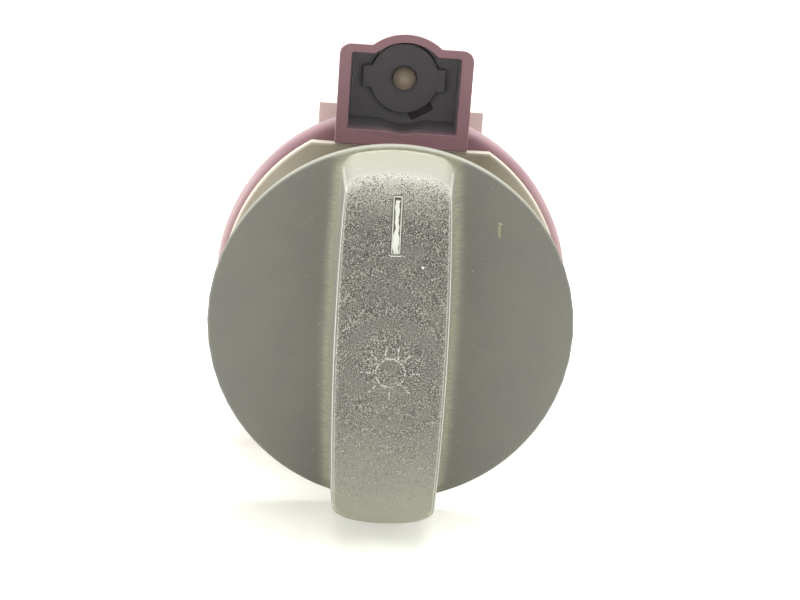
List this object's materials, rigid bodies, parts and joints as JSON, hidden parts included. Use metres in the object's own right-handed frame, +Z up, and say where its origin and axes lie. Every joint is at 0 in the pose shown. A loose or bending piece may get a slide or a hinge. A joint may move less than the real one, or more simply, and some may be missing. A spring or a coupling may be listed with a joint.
{
  "type": "rotary headlight switch",
  "caption": "Dashboard rotary headlight switch: black knob with a finger bar and white pointer, round burgundy housing with a lamp chamber on top, connector behind.",
  "frame": {"origin": "on the knob's axis, in the plane where the trim panel's back meets the front plate", "axes": "+Y along the knob's axis into the dashboard, -Y out at the driver, +Z up, +X to the right as the driver sees it"},
  "size_m": [0.047, 0.0685, 0.0573],
  "materials": {
    "knob_plastic": "grained moulding, satin, rubbed paler on the finger bar",
    "pointer_white": "matt white, worn",
    "spring_steel": "spring steel, bright",
    "spindle_steel": "turned steel",
    "nut_brass": "turned brass, dull",
    "washer_zinc": "zinc plated",
    "plate_plastic": "black moulding, fine grain",
    "bush_bronze": "sintered bronze",
    "housing_burgundy": "burgundy moulding, satin",
    "rotor_acetal": "natural acetal",
    "contact_brass": "stamped brass",
    "base_plastic": "black moulding, satin",
    "screw_steel": "zinc plated",
    "holder_plastic": "black moulding",
    "lamp_glass": "clear glass capsule"
  },
  "bodies": {
    "housing": {"housing": "housing_burgundy", "front_plate": "plate_plastic", "spindle_bush": "bush_bronze", "mounting_nut": "nut_brass", "lock_washer": "washer_zinc", "detent_spring": "spring_steel", "terminal_base": "base_plastic", "base_screws": "screw_steel", "terminal_1": "contact_brass", "terminal_2": "contact_brass", "terminal_3": "contact_brass", "terminal_4": "contact_brass", "terminal_5": "contact_brass", "terminal_6": "contact_brass", "terminal_7": "contact_brass", "terminal_8": "contact_brass", "lamp_strip_left": "contact_brass", "lamp_strip_right": "contact_brass"},
    "knob": {"knob": "knob_plastic", "pointer_inlay": "pointer_white", "knob_clip": "spring_steel", "spindle": "spindle_steel", "retaining_ring": "spring_steel", "rotor": "rotor_acetal", "contact_bridge_1": "contact_brass", "contact_bridge_2": "contact_brass", "contact_bridge_3": "contact_brass", "contact_spring_1": "spring_steel", "contact_spring_2": "spring_steel", "contact_spring_3": "spring_steel"},
    "lamp_holder": {"lamp_holder": "holder_plastic", "holder_contacts": "contact_brass", "lamp": "lamp_glass"}
  },
  "joints": [
    {"name": "knob_turn", "type": "hinge", "parent": "housing", "child": "knob", "pos_m": [0, 0, 0], "axis": [0, 1, 0], "range_deg": [0, 90], "deforming": ["detent_spring"]},
    {"name": "lamp_holder_twist", "type": "hinge", "parent": "housing", "child": "lamp_holder", "pos_m": [0, 0.0135, 0.0268], "axis": [0, 1, 0], "range_deg": [0, 60]}
  ]
}
